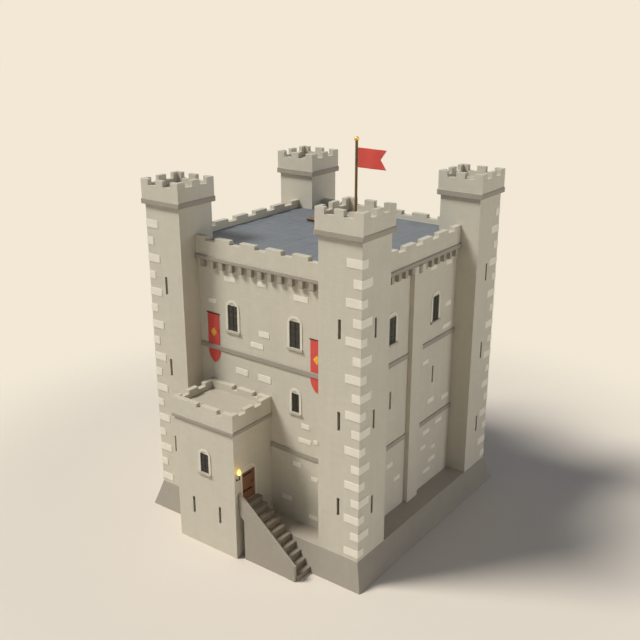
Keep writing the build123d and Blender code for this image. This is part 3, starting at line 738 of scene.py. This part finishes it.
def add_corbel(mesh, low, high):
    out, along = wall_axes(low, high)
    middle = (low + high) / 2
    half_width = (high - low).dot(along) / 2 + corbel_side
    half_depth = abs((high - low).dot(out)) / 2
    foot = middle - along * half_width - upward * middle.z
    front, back = foot + out * half_depth, foot - out * half_depth
    bottom = low.z - corbel_drop
    profile = [back + upward * high.z, back + upward * bottom]
    for i in range(foot_steps + 1):
        turn = math.radians(90 * i / foot_steps)
        profile.append(front - out * corbel_foot * (1 - math.sin(turn))
                       + upward * (bottom + corbel_foot * (1 - math.cos(turn))))
    profile.append(front + upward * high.z)
    add_prism(mesh, profile, along * half_width * 2)


def add_plain_corbel(mesh, low, high):
    out, along = wall_axes(low, high)
    across, rise = along * block_half, upward * block_height
    face = out * (max(abs(low.dot(out)), abs(high.dot(out))) - block_bed)
    foot = face - across + upward * (high.z - block_height)
    front = foot + out * block_depth
    add_prism(mesh, [foot, front, front + rise, foot + rise], across * 2)


corbels = bmesh.new()
for low, high in solid_boxes("corbel_table"):
    add_corbel(corbels, low, high)
for low, high in solid_boxes("pilaster_buttresses"):
    add_plain_corbel(corbels, low, high)
blocks = piece("corbel_blocks", corbels, corbel_stone, bevel=stone_arris)
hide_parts("corbel_table")


# Dressed stones

tower_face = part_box("front_right_tower_side_walls")[1].x
wall_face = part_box("right_wall")[1].x


def quoins(name, side_x, side_y):
    """Stones that wrap a tower's outermost corner, long and short by turns."""
    mesh = bmesh.new()
    outer, inner = tower_face + stone_proud, tower_face - stone_depth
    for i in range(quoin_count):
        bottom = quoin_first + i * quoin_pitch - quoin_height / 2
        lengths = (quoin_short[0], quoin_long[1]) if i % 2 else (quoin_long[0], quoin_short[1])
        end_x, end_y = [tower_face - (length + draw.uniform(-quoin_vary, quoin_vary))
                        for length in lengths]
        plan = [(outer, outer), (end_x, outer), (end_x, inner), (inner, inner),
                (inner, end_y), (outer, end_y)]
        outline = [(side_x * x, side_y * y, bottom) for x, y in plan]
        add_prism(mesh, outline, upward * quoin_height)
    piece(name, mesh, pale_stone, bevel=stone_arris)


for row, side_y in (("front", -1), ("back", 1)):
    for column, side_x in (("left", -1), ("right", 1)):
        quoins(f"{row}_{column}_quoins", side_x, side_y)


def set_stones(name, outward, stones):
    """Pale stones in a wall; outward is the wall's outward axis as a unit vector."""
    mesh = bmesh.new()
    out = Vector(outward)
    along = Vector((abs(out.y), abs(out.x), 0))
    for place, level, width, *known in stones:
        height = known[0] if known else draw.uniform(*stone_heights)
        centre = along * place + out * (wall_face - stone_depth) + upward * level
        corners = []
        for across, up in ((-1, -1), (1, -1), (1, 1), (-1, 1)):
            jitter = Vector((draw.uniform(-1, 1), draw.uniform(-1, 1))) * stone_vary
            corners.append(centre + along * (across * width / 2 + jitter.x)
                           + upward * (up * height / 2 + jitter.y))
        add_prism(mesh, corners, out * (stone_depth + stone_proud * draw.uniform(*stone_relief)))
    piece(name, mesh, pale_stone, bevel=stone_arris)


set_stones("front_wall_pale_stones", (0, -1, 0), front_stones)
set_stones("right_wall_pale_stones", (1, 0, 0), right_stones)
set_stones("left_wall_pale_stones", (-1, 0, 0), [(-y, z, w) for y, z, w in right_stones])
set_stones("back_wall_pale_stones", (0, 1, 0),
           [(-y, z - back_stones_drop, w) for y, z, w in right_stones])


# Windows: lead cames and iron bars over the dark panes

came_pitch = (0.15, 0.22)  # along the pane and up it
came_width = 0.012
came_depth = 0.006
came_least = 0.02  # narrower ends than this are left out
bar_side = 0.022
bar_gap = 0.02  # between a pane and its bars
tall_pane = 1.8
tall_pane_bars = 3
low_pane_bars = 2


def came_lattice(mesh, low, high):
    """Slanting lead strips over one pane."""
    out, along = wall_axes(low, high)
    surface = (low + high) / 2 + out * abs((high - low).dot(out)) / 2
    width = (high - low).dot(along)
    height = high.z - low.z
    slope = came_pitch[1] / came_pitch[0]
    steps = int((height + width * slope) / came_pitch[1]) + 1
    for hand in (-1, 1):
        for i in range(1, steps):
            # The line v = level + slope * u, cut to the pane, where u runs over its width
            level = height - i * came_pitch[1]
            first = max(0.0, -level / slope)
            last = min(width, (height - level) / slope)
            if last - first < came_least:
                continue
            ends = []
            for u in (first, last):
                shift = hand * (u - width / 2)
                ends.append(surface + along * shift + upward * (level + slope * u - height / 2))
            add_bar(mesh, ends[0], ends[1], came_width, out, came_depth)


def saddle_bars(mesh, low, high):
    """Level iron bars across a light, and an upright one, standing clear of the cames."""
    out, along = wall_axes(low, high)
    middle = (low + high) / 2
    surface = middle + out * (abs((high - low).dot(out)) / 2 + bar_gap)
    reach = along * ((high - low).dot(along) / 2)
    rise = upward * ((high.z - low.z) / 2)
    count = tall_pane_bars if high.z - low.z > tall_pane else low_pane_bars
    for i in range(1, count + 1):
        place = surface + upward * (low.z - middle.z + (high.z - low.z) * i / (count + 1))
        add_bar(mesh, place - reach, place + reach, bar_side, out, bar_side)
    add_bar(mesh, surface - rise, surface + rise, bar_side, out, bar_side)


cames = bmesh.new()
bars = bmesh.new()
for low, high in solid_boxes("window_panes"):
    came_lattice(cames, low, high)
    saddle_bars(bars, low, high)
piece("window_cames", cames, came_lead)
piece("window_bars", bars, came_lead)


# Door: boards on ledges, with studs

door_low, door_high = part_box("door_leaf")
board_count = 6
board_thickness = 0.07
board_gap = 0.004
board_pitch = (door_high.y - door_low.y) / board_count
board_arris = 0.008
ledge_height = 0.2
ledge_inset = 0.03  # from the leaf's edges
ledge_rises = (0.2, 1.6)  # over the leaf's foot, of the two that no strap crosses
strap_least = 1.0  # a strap is a piece of ironwork longer than this
strap_tip = 0.05  # kept clear of studs
strap_stud = 0.024  # radius
board_stud = 0.022
stud_rise = 0.014

door = bmesh.new()
for i in range(board_count):
    start = door_low.y + i * board_pitch
    add_box(door, (door_high.x - board_thickness, start + board_gap / 2, door_low.z),
            (door_high.x, start + board_pitch - board_gap / 2, door_high.z))
door_boards = piece("door_boards", door, door_oak, "entrance_door", bevel=board_arris)
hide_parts("door_leaf")

straps = [box for box in solid_boxes("door_ironwork") if box[1].y - box[0].y > strap_least]
strap_levels = [(low.z + high.z) / 2 for low, high in straps]
plain_levels = [door_low.z + rise for rise in ledge_rises]
ledges = bmesh.new()
for level in strap_levels + plain_levels:
    add_box(ledges, (door_low.x, door_low.y + ledge_inset, level - ledge_height / 2),
            (door_high.x - board_thickness, door_high.y - ledge_inset, level + ledge_height / 2))
piece("door_ledges", ledges, ledge_oak, "entrance_door", bevel=board_arris)

studs = bmesh.new()
for i in range(board_count):
    across = door_low.y + board_pitch * (i + 0.5)
    for (low, high), level in zip(straps, strap_levels):
        if across < high.y - strap_tip:
            add_dome(studs, (high.x, across, level), (1, 0, 0), strap_stud, stud_rise)
    for level in plain_levels:
        add_dome(studs, (door_high.x, across, level), (1, 0, 0), board_stud, stud_rise)
piece("door_studs", studs, iron, "entrance_door", smooth=True)


# Roof: welts along the lead sheets' sides and laps across their ends

hatch_low, hatch_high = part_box("roof_hatch")
roof_half = roof_top.x
roof_arm = -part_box("front_left_tower_side_walls")[1].x  # half the roof between the towers
arm_margin = 0.05
sheet_width = 0.775
sheet_length = 2.6
seam_bed = 0.002  # into the lead
welt_width = 0.035
welt_rise = 0.006
welt_crown = 0.7  # share of the width that its top keeps
lap_width = 0.025
lap_rise = 0.004
lap_first = (1.1, 2.4)  # behind the front towers, in even and odd rows
lap_count = 5
welt_margin = 0.1  # a welt this near the hatch stops at it
welt_under = 0.06  # how far it runs under the lid
lap_margin = (1.0, 0.2)  # laps that start this near the hatch are left out


def add_welt(mesh, x, start, end):
    """A folded seam, dressed down flat along the roof."""
    half, bottom, top = welt_width / 2, roof_top.z - seam_bed, roof_top.z + welt_rise
    outline = [(x - half, start, bottom), (x + half, start, bottom),
               (x + half * welt_crown, start, top), (x - half * welt_crown, start, top)]
    add_prism(mesh, outline, (0, end - start, 0))


seams = bmesh.new()
half_count = int(roof_half / sheet_width)
for i in range(-half_count, half_count + 1):
    x = i * sheet_width
    reach = roof_half if abs(x) < roof_arm - arm_margin else roof_arm
    if hatch_low.x - welt_margin < x < hatch_high.x + welt_margin:
        add_welt(seams, x, -reach, hatch_low.y + welt_under)
        add_welt(seams, x, hatch_high.y - welt_under, reach)
    else:
        add_welt(seams, x, -reach, reach)
for i in range(-half_count, half_count):
    x = i * sheet_width + welt_width / 2
    for k in range(lap_count):
        y = lap_first[i % 2] - roof_arm + k * sheet_length
        beside_hatch = (hatch_low.x - lap_margin[0] < x < hatch_high.x
                        and hatch_low.y - lap_margin[1] < y < hatch_high.y + lap_margin[1])
        if y < roof_arm and not beside_hatch:
            add_box(seams, (x, y, roof_top.z - seam_bed),
                    (x + sheet_width - welt_width, y + lap_width, roof_top.z + lap_rise))
piece("roof_welts", seams, lead)


# Hatch: a boarded lid with two straps, on a timber curb

curb_inset = 0.06  # from the lid's edges
curb_top = (hatch_low.z + hatch_high.z) / 2
batten_width = 0.14  # of the two crosspieces under the boards
batten_rise = 0.05
batten_inset = 0.01
lid_boards = 8
lid_gap = 0.004  # at each side of a board
lid_pitch = (hatch_high.x - hatch_low.x) / lid_boards
lid_top = hatch_high.z - 0.02  # of its boards
lid_arris = 0.01
curb_arris = 0.012
iron_top = hatch_high.z - 0.008
iron_bed = 0.001
iron_width = 0.07
iron_insets = (0.35, 0.34)  # from the lid's front and back edges
iron_ends = (0.02, 0.25)  # from its left and right edges
lid_stud = (0.018, 0.009)  # radius and rise

lid = bmesh.new()
for i in range(lid_boards):
    x = hatch_low.x + i * lid_pitch
    add_box(lid, (x + lid_gap, hatch_low.y, curb_top + batten_rise),
            (x + lid_pitch - lid_gap, hatch_high.y, lid_top))
hatch_boards = piece("hatch_boards", lid, hatch_oak, bevel=lid_arris)

curb = bmesh.new()
for y in (hatch_low.y + batten_inset, hatch_high.y - batten_inset - batten_width):
    add_box(curb, (hatch_low.x + batten_inset, y, curb_top),
            (hatch_high.x - batten_inset, y + batten_width, curb_top + batten_rise))
add_box(curb, (hatch_low.x + curb_inset, hatch_low.y + curb_inset, hatch_low.z),
        (hatch_high.x - curb_inset, hatch_high.y - curb_inset, curb_top))
piece("hatch_curb", curb, curb_oak, bevel=curb_arris)
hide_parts("roof_hatch")

irons = bmesh.new()
for y in (hatch_low.y + iron_insets[0], hatch_high.y - iron_insets[1] - iron_width):
    add_box(irons, (hatch_low.x + iron_ends[0], y, lid_top - iron_bed),
            (hatch_high.x - iron_ends[1], y + iron_width, iron_top))
    for i in range(lid_boards - 1):
        stud = (hatch_low.x + (i + 0.5) * lid_pitch, y + iron_width / 2, iron_top - iron_bed)
        add_dome(irons, stud, upward, *lid_stud)
piece("hatch_straps", irons, iron)


# Torch flame, standing in the bracket's cup

cup_low, cup_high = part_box("torch_bracket")
cup_radius = 0.09
flame_sunk = 0.06  # under the cup's rim
flame_foot = Vector((cup_high.x - cup_radius, (cup_low.y + cup_high.y) / 2,
                     cup_high.z - flame_sunk))
flame_rings = ((0.02, 0.05), (0.11, 0.11), (0.21, 0.155),  # rise and radius
               (0.32, 0.16), (0.43, 0.12), (0.54, 0.06))
flame_tip = Vector((0.01, 0, 0.63))
flame_sides = 14
flame_twist = 0.25  # of a side, from each ring to the next
flame_flutes = 3
flute_depth = 0.08  # share of the radius


def flame_mesh():
    """A fluted tongue of rings, closed by a point below and a point above."""
    mesh = bmesh.new()
    loops = []
    for i, (rise, radius) in enumerate(flame_rings):
        loop = []
        for j in range(flame_sides):
            turn = 2 * math.pi * (j + flame_twist * i) / flame_sides
            reach = radius * (1 + flute_depth * math.sin(flame_flutes * turn + i))
            offset = Vector((reach * math.cos(turn), reach * math.sin(turn), rise))
            loop.append(mesh.verts.new(flame_foot + offset))
        loops.append(loop)
    add_skin(mesh, loops)
    add_fan(mesh, loops[0][::-1], flame_foot)
    add_fan(mesh, loops[-1], flame_foot + flame_tip)
    return mesh


torch_flame = piece("torch_flame", flame_mesh(), flame_light, smooth=True)
torch_flame.visible_shadow = False

glow = bpy.data.lights.new("torch_glow", "POINT")
glow.energy = glow_strength
glow.color = glow_colour
glow.shadow_soft_size = glow_radius
in_scene("torch_glow", glow).location = flame_foot + upward * glow_rise


# Cloth


def cloth_piece(name, grid, place, material, thickness):
    """A sheet of columns and rows; place(u, v) gives the point for u and v from 0 to 1."""
    columns, rows = grid
    mesh = bmesh.new()
    points = [[mesh.verts.new(place(i / columns, j / rows)) for i in range(columns + 1)]
              for j in range(rows + 1)]
    for low, high in zip(points, points[1:]):
        for i in range(columns):
            mesh.faces.new((low[i], low[i + 1], high[i + 1], high[i]))
    thing = piece(name, mesh, material, smooth=True)
    solid = thing.modifiers.new("cloth", "SOLIDIFY")
    solid.thickness = thickness
    solid.offset = 0.0
    return thing


# Flag, bound to its pole by three ties

flag_low, flag_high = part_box("flag")
flag_size = flag_high - flag_low
flag_grid = (44, 26)
flag_notch = 0.45  # depth of the swallow tail
flag_sway = 0.03  # at the fly
flag_sag = 0.02
sway_growth = 0.8
ripple_turn = 4.6  # radians a metre
ripple_start = 0.5
ripple_lean = 0.8
flag_thickness = 0.004
hoist_width = 0.05
hoist_arris = 0.004
tie_inset = 0.06  # from the flag's top and foot
tie_radius = 0.098
tie_wire = 0.010


def flag_point(u, v):
    """Swallow-tailed cloth that ripples more towards its fly."""
    middle = abs(2 * v - 1)
    run = u * (flag_size.x - flag_notch * (1 - middle))
    share = run / flag_size.x
    ripple = math.sin(ripple_turn * run - ripple_start - ripple_lean * v)
    sway = flag_sway * share ** sway_growth * ripple
    return (flag_low.x + run, (flag_low.y + flag_high.y) / 2 + sway,
            flag_low.z + v * flag_size.z - flag_sag * share ** 2 * v)


flag = cloth_piece("red_flag", flag_grid, flag_point, red_wool, flag_thickness)
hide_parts("flag")

hoist = bmesh.new()
add_box(hoist, (flag_low.x - flag_thickness, flag_low.y + flag_thickness, flag_low.z),
        (flag_low.x + hoist_width, flag_high.y - flag_thickness, flag_high.z))
hoist_band = piece("flag_hoist", hoist, canvas, bevel=hoist_arris)
ball_low, ball_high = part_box("flagpole_ball")
pole = (ball_low + ball_high) / 2
ties = bmesh.new()
for level in (flag_low.z + tie_inset, (flag_low.z + flag_high.z) / 2, flag_high.z - tie_inset):
    add_ring(ties, (pole.x, pole.y, level), upward, tie_radius, tie_wire)
flag_ties = piece("flag_ties", ties, canvas, smooth=True)


# Banners, each with a plain lozenge sewn on

banner_grid = (24, 72)
foot_level = 14.5  # where a banner's sides end and its foot begins
foot_tip = 0.002  # half the width of the foot's end
foot_bow = 0.62  # how far the foot's curve is drawn down
foot_fullness = 0.74  # and the share of the half width that it keeps
banner_thickness = 0.003
fold_depth = 0.006
fold_pitch = 0.55
fold_start = 0.6  # radians
fold_free = 0.8  # under the rod, where the folds reach their depth
lozenge = (0.34, 0.38)  # half its width and half its height
lozenge_level = 16.25
lozenge_grid = (8, 8)
lozenge_proud = 0.004


def fold(across):
    return fold_depth * math.sin(2 * math.pi * across / fold_pitch + fold_start)


def banner(name, low, high):
    """Hanging cloth with a curved and pointed foot."""
    middle = (low.x + high.x) / 2
    half = (high.x - low.x) / 2
    cloth_y = (low.y + high.y) / 2
    side_share = (high.z - foot_level) / (high.z - low.z)

    def cloth_point(u, v):
        if v < side_share:
            z = high.z - (high.z - foot_level) * v / side_share
            reach = half
        else:
            t = (v - side_share) / (1 - side_share)
            bow = 2 * t * (1 - t)
            z = (1 - t) ** 2 * foot_level + bow * (foot_level - foot_bow) + t * t * low.z
            reach = (1 - t) ** 2 * half + bow * half * foot_fullness
        across = (2 * u - 1) * max(reach, foot_tip)
        hang = min(1.0, (high.z - z) / fold_free)
        return (middle + across, cloth_y + hang * fold(across), z)

    def lozenge_point(u, v):
        across = (u - v) * lozenge[0]
        return (middle + across, cloth_y + fold(across) - lozenge_proud,
                lozenge_level + (1 - u - v) * lozenge[1])

    cloth = cloth_piece(name, banner_grid, cloth_point, red_wool, banner_thickness)
    patch = cloth_piece(name + "_lozenge", lozenge_grid, lozenge_point, yellow_wool,
                        banner_thickness)
    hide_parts("banners")


for label, (low, high) in zip(("left_banner", "right_banner"), solid_boxes("banners")):
    banner(label, low, high)


# Floor and backdrop

corners = [(x * floor_half, y * floor_half, floor_level)
           for x, y in ((-1, -1), (1, -1), (1, 1), (-1, 1))]
floor_data = bpy.data.meshes.new("floor")
floor_data.from_pydata(corners, [], [(0, 1, 2, 3)])
floor = in_scene("floor", floor_data)

ground = Recipe("floor")
distance = ground.add("ShaderNodeVectorMath", {0: ground.place["Object"]}, operation="LENGTH")
away = ground.add("ShaderNodeMapRange", {0: distance.outputs[1], 1: backdrop_near, 2: backdrop_far},
                  interpolation_type="SMOOTHSTEP").outputs[0]
lit = ground.add("ShaderNodeBsdfDiffuse", {"Color": rgb(*floor_colour)}).outputs[0]
plain = ground.add("ShaderNodeEmission", {"Color": rgb(*backdrop_colour)}).outputs[0]
mixed = ground.mix_shaders(ground.math("MULTIPLY", away, ground.shown()), lit, plain)
ground.join(mixed, ground.tree.nodes["Material Output"].inputs[0])
ground.tree.nodes.remove(ground.shader)
floor_data.materials.append(ground.material)

world = bpy.data.worlds.new("studio")
scene.world = world
world.use_nodes = True
sky = Graph(world.node_tree)
sky.tree.nodes.clear()
soft = sky.add("ShaderNodeBackground", {"Color": sky_colour, "Strength": sky_strength}).outputs[0]
pale = sky.add("ShaderNodeBackground", {"Color": rgb(*backdrop_colour)}).outputs[0]
sky.join(sky.mix_shaders(sky.shown(), soft, pale), sky.add("ShaderNodeOutputWorld").inputs[0])


# Light and camera


def sunlight(name, course, strength, softness, colour):
    lamp = bpy.data.lights.new(name, "SUN")
    lamp.energy = strength
    lamp.angle = math.radians(softness)
    lamp.color = colour
    in_scene(name, lamp).rotation_euler = Vector(course).to_track_quat("-Z", "Y").to_euler()


sunlight("key_light", sun_course, sun_strength, sun_softness, sun_colour)
sunlight("fill_light", fill_course, fill_strength, fill_softness, fill_colour)

camera = in_scene("camera", bpy.data.cameras.new("camera"))
camera.data.lens = camera_lens
camera.data.sensor_width = sensor_width
camera.data.clip_end = camera_reach
camera.location = camera_place
sight = Vector(camera_target) - Vector(camera_place)
camera.rotation_euler = sight.to_track_quat("-Z", "Y").to_euler()
scene.camera = camera
scene.view_settings.view_transform = "Standard"
